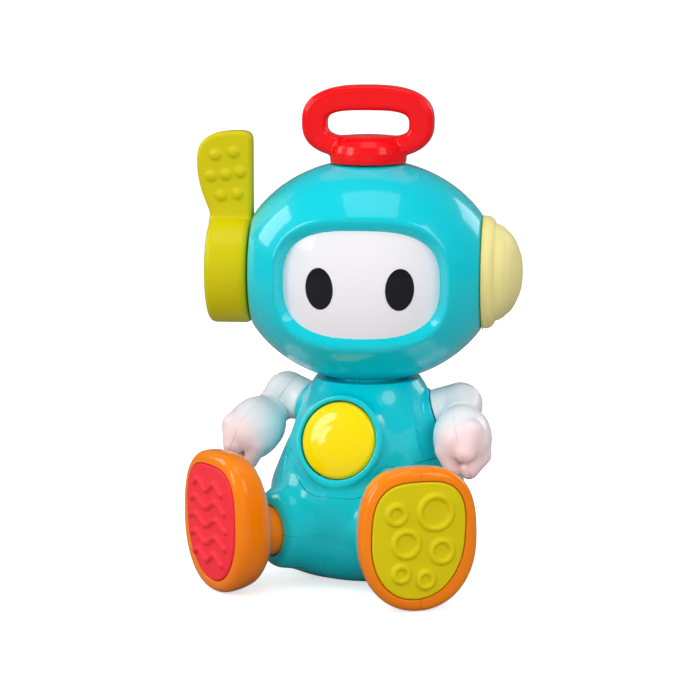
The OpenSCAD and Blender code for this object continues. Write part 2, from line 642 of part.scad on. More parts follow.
chest_shell();
hip_shell();
base_shell();
battery_door();
battery_door_screw();
battery_tray();
batteries();
battery_contacts();
circuit_board();
switch_pad();
leds();
speaker();
body_screws();
chest_screws();
button_lens();
button_carrier();
head_front_shell();
head_rear_shell();
face_plate();
eye_right();
eye_left();
handle();
handle_retainer();
handle_screws();
neck_turret();
neck_retainer();
neck_screws();
head_screws();
squeaker_skirt();
squeaker_ring();
squeaker_reed();
squeaker_cap();
antenna_lever();
antenna_ratchet();
antenna_screw();
antenna_detent();
upper_arm_inner_shell_left();
upper_arm_outer_shell_left();
shoulder_hub_left();
shoulder_screw_left();
forearm_outer_half_left();
forearm_inner_half_left();
upper_arm_inner_shell_right();
upper_arm_outer_shell_right();
shoulder_hub_right();
shoulder_screw_right();
forearm_outer_half_right();
forearm_inner_half_right();
foot_inner_half_left();
foot_outer_half_left();
sole_pad_left();
leg_hub_left();
foot_screws_left();
foot_inner_half_right();
foot_outer_half_right();
sole_pad_right();
leg_hub_right();
foot_screws_right();
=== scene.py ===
import json
import math

import bmesh
import bpy
import numpy as np
import openvdb
from mathutils import Matrix, Vector


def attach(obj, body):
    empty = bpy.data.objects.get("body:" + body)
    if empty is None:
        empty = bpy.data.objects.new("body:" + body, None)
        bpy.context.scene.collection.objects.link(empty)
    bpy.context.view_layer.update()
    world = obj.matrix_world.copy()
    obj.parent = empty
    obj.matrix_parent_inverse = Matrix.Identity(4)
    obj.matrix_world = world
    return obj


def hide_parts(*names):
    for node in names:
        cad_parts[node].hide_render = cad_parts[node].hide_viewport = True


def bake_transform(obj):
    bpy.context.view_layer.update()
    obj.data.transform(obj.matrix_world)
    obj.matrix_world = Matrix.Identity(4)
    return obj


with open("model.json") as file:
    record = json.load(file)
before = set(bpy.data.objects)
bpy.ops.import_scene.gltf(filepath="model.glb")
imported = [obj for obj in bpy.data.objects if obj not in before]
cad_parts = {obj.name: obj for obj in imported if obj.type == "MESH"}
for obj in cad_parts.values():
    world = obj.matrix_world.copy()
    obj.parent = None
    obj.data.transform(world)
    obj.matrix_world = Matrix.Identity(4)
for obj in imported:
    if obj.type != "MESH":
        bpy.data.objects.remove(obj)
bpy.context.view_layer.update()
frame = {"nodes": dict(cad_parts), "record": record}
f32 = np.float32

# ------------------------------------------------------------------ fields (millimetres)


def smin(a, b, k):
    h = np.maximum(k - np.abs(a - b), 0) / k
    return np.minimum(a, b) - h * h * k * 0.25


def smax(a, b, k):
    return -smin(-a, -b, k)


def unit(v):
    v = np.asarray(v, float)
    return v / np.linalg.norm(v)


def frame_of(z, x=None):
    """Rotation whose columns are local x, y, z in world axes."""
    z = unit(z)
    x = np.array([1.0, 0, 0]) if x is None else np.asarray(x, float)
    x = unit(x - z * (x @ z))
    return np.stack([x, np.cross(z, x), z], 1)


class Frame:
    def __init__(self, o, R):
        self.o, self.R = np.asarray(o, float), np.asarray(R, float)

    def local(self, x, y, z):
        o, R = self.o, self.R
        x, y, z = x - o[0], y - o[1], z - o[2]
        return tuple(x * R[0, i] + y * R[1, i] + z * R[2, i] for i in range(3))

    def world(self, P):
        return np.asarray(P, float) @ self.R.T + self.o


def spline(pts, n=14):
    """Smooth curve through the points (centripetal-like Catmull-Rom)."""
    P = np.array(pts, float)
    P = np.vstack([2 * P[0] - P[1], P, 2 * P[-1] - P[-2]])
    out = []
    for i in range(1, len(P) - 2):
        t = np.linspace(0, 1, n, endpoint=False)[:, None]
        a, b, c, d = P[i - 1], P[i], P[i + 1], P[i + 2]
        out.append(0.5 * (2 * b + (c - a) * t + (2 * a - 5 * b + 4 * c - d) * t**2 + (3 * b - a - 3 * c + d) * t**3))
    out.append(P[-2][None])
    return np.vstack(out)


class Profile:
    """Signed distance to a closed outline, tabulated so it can be looked up for every point."""

    def __init__(self, poly, pad=8.0, h=0.2):
        P = np.array(poly, float)
        self.h = h
        self.lo = P.min(0) - pad
        n = np.ceil((P.max(0) + pad - self.lo) / h).astype(int) + 2
        u = self.lo[0] + h * np.arange(n[0])
        v = self.lo[1] + h * np.arange(n[1])
        U, V = np.meshgrid(u, v, indexing="ij")
        d2 = np.full(U.shape, 1e9)
        inside = np.zeros(U.shape, bool)
        for a, b in zip(P, np.roll(P, -1, 0)):
            e = b - a
            L = e @ e
            if L < 1e-12:
                continue
            t = np.clip(((U - a[0]) * e[0] + (V - a[1]) * e[1]) / L, 0, 1)
            d2 = np.minimum(d2, (U - a[0] - t * e[0]) ** 2 + (V - a[1] - t * e[1]) ** 2)
            if abs(e[1]) > 1e-12:
                cross = ((a[1] <= V) != (b[1] <= V)) & (U < a[0] + (V - a[1]) / e[1] * e[0])
                inside ^= cross
        self.T = np.where(inside, -1, 1) * np.sqrt(d2)

    def __call__(self, u, v):
        n = self.T.shape
        i = np.clip((u - self.lo[0]) / self.h, 0, n[0] - 1.001)
        j = np.clip((v - self.lo[1]) / self.h, 0, n[1] - 1.001)
        i0, j0 = i.astype(int), j.astype(int)
        a, b = i - i0, j - j0
        T = self.T
        return (T[i0, j0] * (1 - a) + T[i0 + 1, j0] * a) * (1 - b) + (T[i0, j0 + 1] * (1 - a) + T[i0 + 1, j0 + 1] * a) * b


def turned(points, n=14, smooth=True):
    """Closed outline for a shape turned about an axis: (radius, height) points, mirrored across the axis."""
    S = spline(points, n) if smooth else np.array(points, float)
    return Profile(np.vstack([S, (S * [-1, 1])[::-1]]))


def cyl(x, y, z, r, z0, z1, k=0.6):
    return smax(np.hypot(x, y) - r, np.abs(z - (z0 + z1) / 2) - (z1 - z0) / 2, k)


def capsule(x, y, z, a, b, ra, rb):
    a, b = np.asarray(a, float), np.asarray(b, float)
    e = b - a
    t = np.clip(((x - a[0]) * e[0] + (y - a[1]) * e[1] + (z - a[2]) * e[2]) / (e @ e), 0, 1)
    return np.sqrt((x - a[0] - t * e[0]) ** 2 + (y - a[1] - t * e[1]) ** 2 + (z - a[2] - t * e[2]) ** 2) - (ra + (rb - ra) * t)


def superell(u, v, a, b, n):
    """Roughly the distance outside a rounded-rectangle outline."""
    q = (np.abs(u / a) ** n + np.abs(v / b) ** n + 1e-9) ** (1 / n)
    r = np.hypot(u, v) + 1e-6
    gu = np.abs(u / a) ** (n - 1) / a
    gv = np.abs(v / b) ** (n - 1) / b
    g = np.hypot(gu, gv) * q ** (1 - n) + 1e-6
    return (q - 1) / g


# ------------------------------------------------------------------ meshing
def grad(f, P, e=0.02):
    g = np.empty_like(P)
    for i in range(3):
        d = np.zeros(3)
        d[i] = e
        A, B = P + d, P - d
        g[:, i] = (f(*A.T) - f(*B.T)) / (2 * e)
    return g


def surface(f, lo, hi, res):
    lo, hi = np.array(lo, float), np.array(hi, float)
    ax = [np.arange(lo[i], hi[i] + res, res) for i in range(3)]
    arr = np.empty([len(a) for a in ax], f32)
    for i in range(0, len(ax[0]), 24):
        X, Y, Z = np.meshgrid(ax[0][i:i + 24], ax[1], ax[2], indexing="ij")
        arr[i:i + 24] = f(X, Y, Z)
    g = openvdb.FloatGrid(float(4 * res))
    g.copyFromArray(arr, tolerance=0.0)
    V, Q = g.convertToQuads(isovalue=0.0)
    V = V.astype(float) * res + lo
    for _ in range(3):
        G = grad(f, V)
        step = (f(*V.T) / np.maximum((G * G).sum(1), 0.05))[:, None] * G
        n = np.linalg.norm(step, axis=1, keepdims=True)
        V -= step * np.minimum(1, 0.5 * res / np.maximum(n, 1e-9))
    Q = Q[:, ::-1].astype(np.int64)
    c = V[Q]
    fn = np.cross(c[:, 2] - c[:, 0], c[:, 3] - c[:, 1])
    G = grad(f, c.mean(1))
    if (fn * G).sum() < 0:
        Q = Q[:, ::-1]
    return V, Q


def to_mesh(name, V, faces, scale=0.001):
    me = bpy.data.meshes.new(name)
    V = np.asarray(V, float) * scale
    if isinstance(faces, np.ndarray):
        n, k = faces.shape
        me.vertices.add(len(V))
        me.vertices.foreach_set("co", V.astype(f32).ravel())
        me.loops.add(n * k)
        me.loops.foreach_set("vertex_index", faces.astype(np.int32).ravel())
        me.polygons.add(n)
        me.polygons.foreach_set("loop_start", np.arange(0, n * k, k, dtype=np.int32))
        me.update(calc_edges=True)
    else:
        me.from_pydata(V.tolist(), [], [list(map(int, q)) for q in faces])
        me.update()
    me.polygons.foreach_set("use_smooth", np.ones(len(me.polygons), bool))
    ob = bpy.data.objects.new(name, me)
    bpy.context.scene.collection.objects.link(ob)
    return ob


def co_of(me):
    a = np.empty(len(me.vertices) * 3, f32)
    me.vertices.foreach_get("co", a)
    return a.reshape(-1, 3).astype(float) * 1000


def smooth_normals(ob, f, tol=0.08):
    """Shading normals straight from the field, so the gloss shows no facets. Faces off the surface keep their own."""
    me = ob.data
    V = co_of(me)
    G = grad(f, V, 0.05)
    G /= np.maximum(np.linalg.norm(G, axis=1, keepdims=True), 1e-9)
    on = np.abs(f(*V.T)) < tol
    nl = len(me.loops)
    li = np.empty(nl, np.int32)
    me.loops.foreach_get("vertex_index", li)
    lt = np.empty(len(me.polygons), np.int32)
    me.polygons.foreach_get("loop_total", lt)
    pn = np.empty(len(me.polygons) * 3, f32)
    me.polygons.foreach_get("normal", pn)
    pn = np.repeat(pn.reshape(-1, 3), lt, 0)
    keep = on[li] & ((G[li] * pn).sum(1) > 0.55)
    N = np.where(keep[:, None], G[li], pn)
    me.normals_split_custom_set(N.tolist())


def seam_warp_identity(P):
    return P


def cut(V, Q, cuts):
    """Cuts a surface at level sets. Each cut is (forward, backward, sign): forward maps points so the cut is local
    z = 0; sign +1 keeps z > 0. Returns vertices and faces with clean boundary loops."""
    bm = bmesh.new()
    me = bpy.data.meshes.new("tmp")
    Q4 = np.asarray(Q)
    me.from_pydata(V.tolist(), [], Q4.tolist())
    bm.from_mesh(me)
    bpy.data.meshes.remove(me)
    for fwd, back, sign in cuts:
        bm.verts.ensure_lookup_table()
        P = np.array([v.co for v in bm.verts])
        P = fwd(P)
        for v, p in zip(bm.verts, P.tolist()):
            v.co = p
        geom = bm.verts[:] + bm.edges[:] + bm.faces[:]
        bmesh.ops.bisect_plane(bm, geom=geom, dist=1e-4, plane_co=(0, 0, 0), plane_no=(0, 0, 1),
                               clear_inner=sign > 0, clear_outer=sign < 0)
        bm.verts.ensure_lookup_table()
        P = back(np.array([v.co for v in bm.verts]))
        for v, p in zip(bm.verts, P.tolist()):
            v.co = p
    loose = [v for v in bm.verts if not v.link_faces]
    bmesh.ops.delete(bm, geom=loose, context="VERTS")
    bm.verts.ensure_lookup_table()
    bm.verts.index_update()
    V2 = np.array([v.co for v in bm.verts])
    F2 = [[v.index for v in fc.verts] for fc in bm.faces]
    B2 = []
    for e in bm.edges:
        if len(e.link_loops) == 1:
            l = e.link_loops[0]
            B2.append((l.vert.index, l.link_loop_next.vert.index))
    bm.free()
    return V2, F2, B2


def shell(name, f, base, cuts, wall=2.0, chamfer=0.28, gap=0.03):
    """A hollow moulded shell from a closed surface: cut at its seams, with a tiny chamfer on every seam edge and a
    real wall inside. cuts: (forward, backward, sign)."""
    V, Q = base
    back_off = chamfer + gap
    cc = []
    for fwd, back, sign in cuts:
        cc.append((lambda P, g=fwd, s=sign: g(P) - [0, 0, s * back_off], lambda P, g=back, s=sign: g(P + [0, 0, s * back_off]), sign))
    V2, F2, B2 = cut(V, Q, cc)
    N = grad(f, V2, 0.05)
    N /= np.maximum(np.linalg.norm(N, axis=1, keepdims=True), 1e-9)
    nv = len(V2)
    bidx = sorted({i for e in B2 for i in e})
    pos = {v: k for k, v in enumerate(bidx)}
    Bv = V2[bidx]
    Bn = N[bidx]
    # move each boundary point towards its own seam
    out = np.zeros_like(Bv)
    for fwd, back, sign in cuts:
        L = fwd(Bv)
        near = np.abs(L[:, 2] - sign * back_off) < 0.06
        L2 = L.copy()
        L2[:, 2] = sign * gap
        T = back(L2) - Bv
        out[near] = T[near]
    nb = len(bidx)
    ring1 = Bv + out - Bn * chamfer
    ring2 = Bv + out - Bn * wall
    inner = V2 - N * wall
    allV = np.vstack([V2, ring1, ring2, inner])
    r1, r2, inn = nv, nv + nb, nv + 2 * nb
    faces = list(F2)
    for a, b in B2:
        pa, pb = pos[a], pos[b]
        faces.append([b, a, r1 + pa, r1 + pb])
        faces.append([r1 + pb, r1 + pa, r2 + pa, r2 + pb])
        faces.append([r2 + pb, r2 + pa, inn + a, inn + b])
    faces += [[inn + i for i in reversed(q)] for q in F2]
    ob = to_mesh(name, allV, faces)
    smooth_normals(ob, f)
    return ob


def solid(name, f, lo, hi, res):
    V, Q = surface(f, lo, hi, res)
    ob = to_mesh(name, V, Q)
    smooth_normals(ob, f)
    return ob


def lathe(name, pts, fr, seg=128, n=8, smooth=True, taper=None):
    """Turned piece: outline of (radius, height) points spun about local z of the frame, closed at the axis."""
    S = spline(pts, n) if smooth else np.array(pts, float)
    V, F, rings = [], [], []
    for r, z in S:
        if r < 1e-4:
            rings.append([len(V)])
            V.append((0, 0, z))
        else:
            rings.append(list(range(len(V), len(V) + seg)))
            for k in range(seg):
                a = 2 * math.pi * k / seg
                V.append((r * math.cos(a), r * math.sin(a), z))
    pairs = list(zip(rings, rings[1:]))
    if len(rings[0]) > 1 and len(rings[-1]) > 1:
        pairs.append((rings[-1], rings[0]))
    for A, B in pairs:
        for k in range(seg):
            a, b = A[k % len(A)], A[(k + 1) % len(A)]
            c, d = B[(k + 1) % len(B)], B[k % len(B)]
            F.append([v for i, v in enumerate((a, b, c, d)) if v not in (a, b, c, d)[:i]])
    P = fr.world(np.array(V))
    ob = to_mesh(name, P, [q for q in F if len(q) > 2])
    bm = bmesh.new()
    bm.from_mesh(ob.data)
    bmesh.ops.recalc_face_normals(bm, faces=bm.faces)
    bm.to_mesh(ob.data)
    bm.free()
    ob.data.polygons.foreach_set("use_smooth", np.ones(len(ob.data.polygons), bool))
    ob.data.set_sharp_from_angle(angle=math.radians(50))
    return ob


# ------------------------------------------------------------------ materials
def lin(c):
    return tuple((x / 12.92 if x <= 0.04045 else ((x + 0.055) / 1.055) ** 2.4) for x in (v / 255 for v in c)) + (1,)


def plastic(name, rgb, rough=0.3, coat=0.35, grain=900, bump=0.05, mottle=0.03, sss=0.0, sss_rgb=None, dark=0.84, spec=0.16, transmission=0.0, wear=0.05):
    """Moulded plastic or rubber: slightly mottled colour, fine moulding grain, faint scuffs in the gloss, and edges a
    touch lighter from handling."""
    m = bpy.data.materials.new(name)
    m.use_nodes = True
    nt = m.node_tree
    N, L = nt.nodes, nt.links
    b = N["Principled BSDF"]
    tc = N.new("ShaderNodeTexCoord")

    def noise(scale, detail=3, rough_=0.55):
        t = N.new("ShaderNodeTexNoise")
        t.inputs["Scale"].default_value = scale
        t.inputs["Detail"].default_value = detail
        t.inputs["Roughness"].default_value = rough_
        L.new(tc.outputs["Object"], t.inputs["Vector"])
        return t.outputs["Fac"]

    def ramp(src, lo, hi, a, c):
        r = N.new("ShaderNodeMapRange")
        for k, v in zip(("From Min", "From Max", "To Min", "To Max"), (lo, hi, a, c)):
            r.inputs[k].default_value = v
        L.new(src, r.inputs["Value"])
        return r.outputs["Result"]

    def mix(fac, a, c):
        x = N.new("ShaderNodeMix")
        x.data_type = "RGBA"
        if isinstance(fac, float):
            x.inputs["Factor"].default_value = fac
        else:
            L.new(fac, x.inputs["Factor"])
        for s, v in ((6, a), (7, c)):
            if isinstance(v, tuple):
                x.inputs[s].default_value = v
            else:
                L.new(v, x.inputs[s])
        return x.outputs[2]

    col = lin(rgb)
    deep = tuple(c * dark for c in col[:3]) + (1,)
    pale = tuple(min(1, c + (1 - c) * 0.25) for c in col[:3]) + (1,)
    base = mix(ramp(noise(38, 4), 0.35, 0.75, 0.0, mottle * 4), col, deep)
    geo = N.new("ShaderNodeNewGeometry")
    edge = ramp(geo.outputs["Pointiness"], 0.53, 0.6, 0.0, wear)
    base = mix(edge, base, pale)
    L.new(base, b.inputs["Base Color"])
    r1 = ramp(noise(60, 5, 0.65), 0.3, 0.75, rough * 0.85, rough * 1.2)
    scr = N.new("ShaderNodeTexNoise")
    scr.inputs["Scale"].default_value = 260
    scr.inputs["Detail"].default_value = 2
    mp = N.new("ShaderNodeMapping")
    mp.inputs["Scale"].default_value = (1, 0.05, 0.3)
    mp.inputs["Rotation"].default_value = (0.4, 0.9, 0.3)
    L.new(tc.outputs["Object"], mp.inputs["Vector"])
    L.new(mp.outputs["Vector"], scr.inputs["Vector"])
    sc = ramp(scr.outputs["Fac"], 0.62, 0.75, 0.0, 0.06)
    ad = N.new("ShaderNodeMath")
    ad.operation = "ADD"
    L.new(r1, ad.inputs[0])
    L.new(sc, ad.inputs[1])
    L.new(ad.outputs[0], b.inputs["Roughness"])
    bp = N.new("ShaderNodeBump")
    bp.inputs["Strength"].default_value = bump
    bp.inputs["Distance"].default_value = 0.0002
    L.new(noise(grain, 3, 0.6), bp.inputs["Height"])
    bp2 = N.new("ShaderNodeBump")
    bp2.inputs["Strength"].default_value = 0.25
    bp2.inputs["Distance"].default_value = 0.0001
    L.new(noise(55, 1, 0.4), bp2.inputs["Height"])
    L.new(bp2.outputs["Normal"], bp.inputs["Normal"])
    L.new(bp.outputs["Normal"], b.inputs["Normal"])
    b.inputs["Coat Weight"].default_value = coat
    b.inputs["Coat Roughness"].default_value = 0.07
    b.inputs["Specular IOR Level"].default_value = spec
    if sss:
        b.inputs["Subsurface Weight"].default_value = sss
        b.inputs["Subsurface Radius"].default_value = tuple(max(0.15, c) for c in (sss_rgb or col[:3]))
        b.inputs["Subsurface Scale"].default_value = 0.004
    if transmission:
        b.inputs["Transmission Weight"].default_value = transmission
    m.diffuse_color = col
    return m


def metal(name, rgb, rough=0.3):
    m = plastic(name, rgb, rough=rough, coat=0.0, grain=1500, bump=0.08, mottle=0.08)
    m.node_tree.nodes["Principled BSDF"].inputs["Metallic"].default_value = 1.0
    return m


MAT = dict(
    teal=plastic("teal_abs", (0, 208, 222), rough=0.28, coat=0.75, sss=0.04),
    red=plastic("red_ring", (250, 8, 18), rough=0.36, coat=0.45, sss=0.06, grain=1300),
    lime=plastic("lime_lever", (212, 198, 0), rough=0.42, coat=0.2, sss=0.06, grain=1300),
    cream=plastic("cream_rubber", (250, 235, 158), rough=0.45, coat=0.1, sss=0.25, grain=1500, bump=0.08),
    yellow=plastic("yellow_lens", (255, 228, 0), rough=0.25, coat=0.9, sss=0.2, mottle=0.02, bump=0.02),
    orange=plastic("orange_abs", (255, 134, 0), rough=0.3, coat=0.6, sss=0.05),
    coral=plastic("coral_sole", (252, 52, 66), rough=0.5, coat=0.05, sss=0.15, grain=1700, bump=0.1),
    lime_pad=plastic("lime_sole", (222, 204, 8), rough=0.5, coat=0.05, sss=0.15, grain=1700, bump=0.1),
    white=plastic("white_abs", (250, 247, 250), rough=0.32, coat=0.4, sss=0.2, dark=0.95, mottle=0.03),
    face_white=plastic("face_white", (250, 247, 252), rough=0.3, coat=0.4, sss=0.12, dark=0.96, mottle=0.02, wear=0.0),
    eye_black=plastic("eye_print", (26, 25, 28), rough=0.28, coat=0.3, wear=0.0),
    natural=plastic("natural_nylon", (214, 210, 196), rough=0.5, coat=0.0, sss=0.2),
    steel=metal("zinc_screw", (190, 194, 200)),
    board=plastic("solder_mask", (18, 92, 48), rough=0.35, coat=0.3, mottle=0.15),
    silicone=plastic("silicone_pad", (205, 208, 214), rough=0.6, coat=0.0, sss=0.3),
    dark=plastic("black_inner", (38, 38, 42), rough=0.55, coat=0.0),
    cell=metal("cell_sleeve", (74, 110, 60), 0.35),
    led=plastic("led_clear", (240, 240, 228), rough=0.08, coat=1.0, sss=0.2, transmission=0.5),
)


def give(ob, key, body, *nodes, slot=None):
    ob.data.materials.clear()
    ob.data.materials.append(MAT[key])
    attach(ob, body)
    if nodes:
        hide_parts(*nodes)
    return ob


def fingertip_tint(k, side_name, origin, axis):
    """White plastic that warms to a pale blush along the forearm towards the fingertips."""
    m = MAT["white"].copy()
    m.name = "white_blush_" + side_name
    nt = m.node_tree
    N, L = nt.nodes, nt.links
    tc = N.new("ShaderNodeTexCoord")
    off = N.new("ShaderNodeVectorMath")
    off.operation = "SUBTRACT"
    off.inputs[1].default_value = tuple(origin / 1000)
    dot = N.new("ShaderNodeVectorMath")
    dot.operation = "DOT_PRODUCT"
    dot.inputs[1].default_value = tuple(axis)
    ns = N.new("ShaderNodeTexNoise")
    ns.inputs["Scale"].default_value = 90
    add = N.new("ShaderNodeMath")
    add.operation = "MULTIPLY_ADD"
    add.inputs[1].default_value = 0.008
    mr_ = N.new("ShaderNodeMapRange")
    mr_.interpolation_type = "SMOOTHSTEP"
    for key, v in zip(("From Min", "From Max", "To Min", "To Max"), (0.027, 0.044, 0.0, 0.75)):
        mr_.inputs[key].default_value = v
    mx_ = N.new("ShaderNodeMix")
    mx_.data_type = "RGBA"
    mx_.inputs[7].default_value = lin((255, 214, 216))
    b = N["Principled BSDF"]
    src = b.inputs["Base Color"].links[0].from_socket
    L.new(tc.outputs["Object"], off.inputs[0])
    L.new(off.outputs["Vector"], dot.inputs[0])
    L.new(tc.outputs["Object"], ns.inputs["Vector"])
    L.new(ns.outputs["Fac"], add.inputs[0])
    L.new(dot.outputs["Value"], add.inputs[2])
    L.new(add.outputs[0], mr_.inputs["Value"])
    L.new(mr_.outputs["Result"], mx_.inputs["Factor"])
    L.new(src, mx_.inputs[6])
    L.new(mx_.outputs[2], b.inputs["Base Color"])
    MAT["white_" + side_name] = m


for name, ob in frame["nodes"].items():
    s = next(p["material_slot"] for p in frame["record"]["subparts"] if p["node"] == name)
    ob.data.materials.clear()
    ob.data.materials.append(MAT[s])
    ob.data.polygons.foreach_set("use_smooth", np.ones(len(ob.data.polygons), bool))
    ob.data.set_sharp_from_angle(angle=math.radians(30))

# ------------------------------------------------------------------ body
a = math.radians
side = [(44, 28), (44.2, 34), (43.4, 41.4), (40, 50.5), (37.4, 56.8), (33.8, 64.5), (30.2, 74), (26.6, 83.6), (23.5, 88.8)]
arc = [(22.5 + 20.25 * math.cos(t), 20.25 + 20.25 * math.sin(t)) for t in np.radians(np.arange(-90, 1, 5))]
out = np.vstack([[(0, 0)], arc, spline([(42.75, 20.25)] + side, 12)[1:], [(22.4, 88.8 + 0.0)], [(0, 88.8)]])
body_profile = Profile(np.vstack([out, (out * [-1, 1])[::-1]]))
T16 = a(16)
BUT = Frame((0, -35.5, 65.5), frame_of((0, -math.cos(T16), math.sin(T16))))
S_DIR = unit((0.93, 0.2, 0.3))
f0 = np.array((0.31, -0.76, -0.575))
F_DIR = unit(f0 - S_DIR * (f0 @ S_DIR))
SH = np.array((31.0, 4, 74))
EL = SH + 11.6 * S_DIR
mx = np.array((-1.0, 1, 1))
L_DIR = np.array((math.sin(a(36.5)), -math.cos(a(36.5)), 0))


def leg_frame(k):
    z = L_DIR * (k, 1, 1)
    x = np.array((0, 0, 1.0))
    y = np.array((-math.cos(a(36.5)) * k, -math.sin(a(36.5)), 0))  # towards the middle
    return Frame((0, 0, 24), np.stack([x, y, z], 1))


LEG = {k: leg_frame(k) for k in (1, -1)}
SHO = {k: Frame(SH * (k, 1, 1), frame_of(S_DIR * (k, 1, 1))) for k in (1, -1)}
ELB = {k: Frame(EL * (k, 1, 1), frame_of(F_DIR * (k, 1, 1), S_DIR * (k, 1, 1))) for k in (1, -1)}
RAISE = np.array(Matrix.Rotation(a(-9), 3, Vector(S_DIR)))  # the left arm rests higher
ELB[1] = Frame(EL, RAISE @ ELB[1].R)


def bib(x, y):
    t = np.clip((np.abs(x) - 8) / 26, 0, 1)
    return np.where(y < 0, 41.3 + 14.2 * t * t * (3 - 2 * t), 55.5)


grille = [(4.4 * (i + j / 2), 3.8 * j) for i in range(-2, 3) for j in range(-2, 3) if abs(i + j) <= 2]
arcs = [((-24.6, 52.2), 5.2, 105, 235), ((21.5, 48.5), 4.6, -20, 190)]


def body_f(x, y, z):
    r = np.hypot(x, y)
    d = body_profile(r, z)
    for k in (1, -1):
        u, v, w = LEG[k].local(x, y, z)
        b = smax(np.hypot(u, v) - 17.5, w - 52, 7.0)
        b = np.maximum(b, 20 - w)
        d = smin(d, b, 9.0)
    # collar round the button, flaring into the chest
    u, v, w = BUT.local(x, y, z)
    q = np.hypot(u, v)
    flare = np.where(w < 1.0, 20.2 + 0.055 * np.maximum(1.0 - w, 0) ** 1.75, 20.2)
    col = smax(q - flare, w - 2.4, 1.6)
    col = smax(col, -w - 16, 1.0)
    col = np.maximum(col, -(z - 30))
    top = smin(d, col, 5.0)
    d = np.where(z > 42, top, d)
    for k in (1, -1):
        u2, v2, w2 = SHO[k].local(x, y, z)
        s = smax(np.hypot(u2, v2) - 10.4, w2 + 0.25, 0.8)
        s = np.maximum(s, -w2 - 14)
        d = smin(d, s, 2.5)
    d = smax(d, z - 88.8, 0.4)  # the blends stay under the neck gap
    # hole for the lens
    d = smax(d, -cyl(u, v, w, 17.62, -9.5, 12, 0.6), 0.7)
    for k in (1, -1):
        u2, v2, w2 = LEG[k].local(x, y, z)
        d = smax(d, -smax(np.hypot(u2, v2) - 11.34, 43.5 - w2, 0.5), 0.7)
    return d


def with_back(x, y, z):
    d = body_f(x, y, z)
    for gx, gz in grille:
        d = np.where(y > 30, smax(d, -(np.hypot(x - gx, z - 40 - gz) - 1.15), 0.35), d)
    for px, py in ((27, 17), (-27, 17), (0, -18)):
        d = np.where(z < 15, smax(d, -smax(np.hypot(x - px, y - py) - 3.05, z - 9.2, 0.3), 0.5), d)
    door = np.maximum(superell(x, y, 25.3, 13.3, 7), z - 2.0)
    d = np.where(z < 6, smax(d, -door, 0.4), d)
    u, v, w = BUT.local(x, y, z)
    return d


def groove(x, y, z):
    """Engraved arc lines beside the button."""
    g = 0
    for (cx, cz), rr, t0, t1 in arcs:
        ang = np.degrees(np.arctan2(z - cz, x - cx))
        ang = np.where(ang < t0 - 90, ang + 360, ang)
        m = np.clip((ang - t0) / 12, 0, 1) * np.clip((t1 - ang) / 12, 0, 1)
        lz = (z - cz) / 1.25
        dd = np.abs(np.hypot(x - cx, lz) - rr)
        g = g + m * np.exp(-(dd / 0.5) ** 2)
    return np.where(y < -10, g * 0.55, 0.0)


def torso_f(x, y, z):
    return with_back(x, y, z) + groove(x, y, z)


torso = surface(torso_f, (-60, -60, -2), (60, 47, 92), 0.62)
low_f = (lambda P: P - [0, 0, 24.0], lambda P: P + [0, 0, 24.0])


def bib_fwd(P):
    P = P.copy()
    P[:, 2] -= bib(P[:, 0], P[:, 1])
    return P


def bib_back(P):
    P = P.copy()
    P[:, 2] += bib(P[:, 0], P[:, 1])
    return P


give(shell("chest", torso_f, torso, [(bib_fwd, bib_back, 1)]), "teal", "torso", "chest_shell")
give(shell("hip", torso_f, torso, [(bib_fwd, bib_back, -1), low_f + (1,)]), "teal", "torso", "hip_shell")
give(shell("base", torso_f, torso, [low_f + (-1,)]), "teal", "torso", "base_shell")


def door_f(x, y, z):
    d = smax(body_profile(np.hypot(x, y), z), superell(x, y, 25.0, 13.0, 7), 0.5)
    d = smax(d, z - 1.9, 0.4)
    d = smax(d, -cyl(x - 21, y, z, 2.75, -2, 0.9, 0.3), 0.4)
    for i in range(5):
        d = smax(d, -(np.hypot(x + 19 - 2.4 * i, z + 0.25) - 0.6 + 0.0 * y + np.maximum(np.abs(y) - 6, 0)), 0.3)
    return d


give(solid("door", door_f, (-27, -15, -2), (27, 15, 4), 0.45), "teal", "torso", "battery_door")

# ------------------------------------------------------------------ head
c15, s15 = math.cos(a(15)), math.sin(a(15))
HEAD = Frame((0, 0, 136.5), np.array([[c15, -s15, 0], [s15, c15, 0], [0, 0, 1.0]]))
t = np.radians(np.arange(-90, 91, 1.0))
lobe = Profile(np.vstack([np.stack([50 * np.cos(t), 59 * np.sin(t)], 1), np.stack([-50 * np.cos(t), 59 * np.sin(t)], 1)[::-1]]), pad=6, h=0.25)
head_posts = [(40, 29), (-40, 29), (40, -29), (-40, -29)]


def plate_y(x, z):
    """Depth of the face plate's front surface."""
    return -42.5 * np.sqrt(np.clip(1 - (x / 52) ** 2 - (z / 60) ** 2, 0.05, 1)) - 0.0


def head_local(x, y, z):
    d = lobe(np.hypot(y, z), x)
    d = smax(d, np.abs(x) - 51.4, 1.2)
    d = smax(d, z - 48.3, 1.0)
    d = smax(d, -47.4 - z, 1.0)
    # window: bevelled wall from the rim down to the plate
    yh = -50 * np.sqrt(np.clip(1 - (x / 59) ** 2 - (z / 50) ** 2, 0.05, 1))
    yp = plate_y(x, z)
    depth = np.clip((y - yh) / np.maximum(yp - yh, 0.5), 0, 1)
    w = superell(x, z + 1.5, 38.3 - 4.1 * depth, 28.7 - 5.2 * depth, 2.8)
    w = np.maximum(w * 0.9, y + 26)
    d = smax(d, -w, 1.1)
    for px, pz in head_posts:
        d = np.where(y > 10, smax(d, -smax(np.hypot(x - px, z - pz) - 3.05, 15.2 - y, 0.3), 0.6), d)
    return d


def head_f(x, y, z):
    return head_local(*HEAD.local(x, y, z))


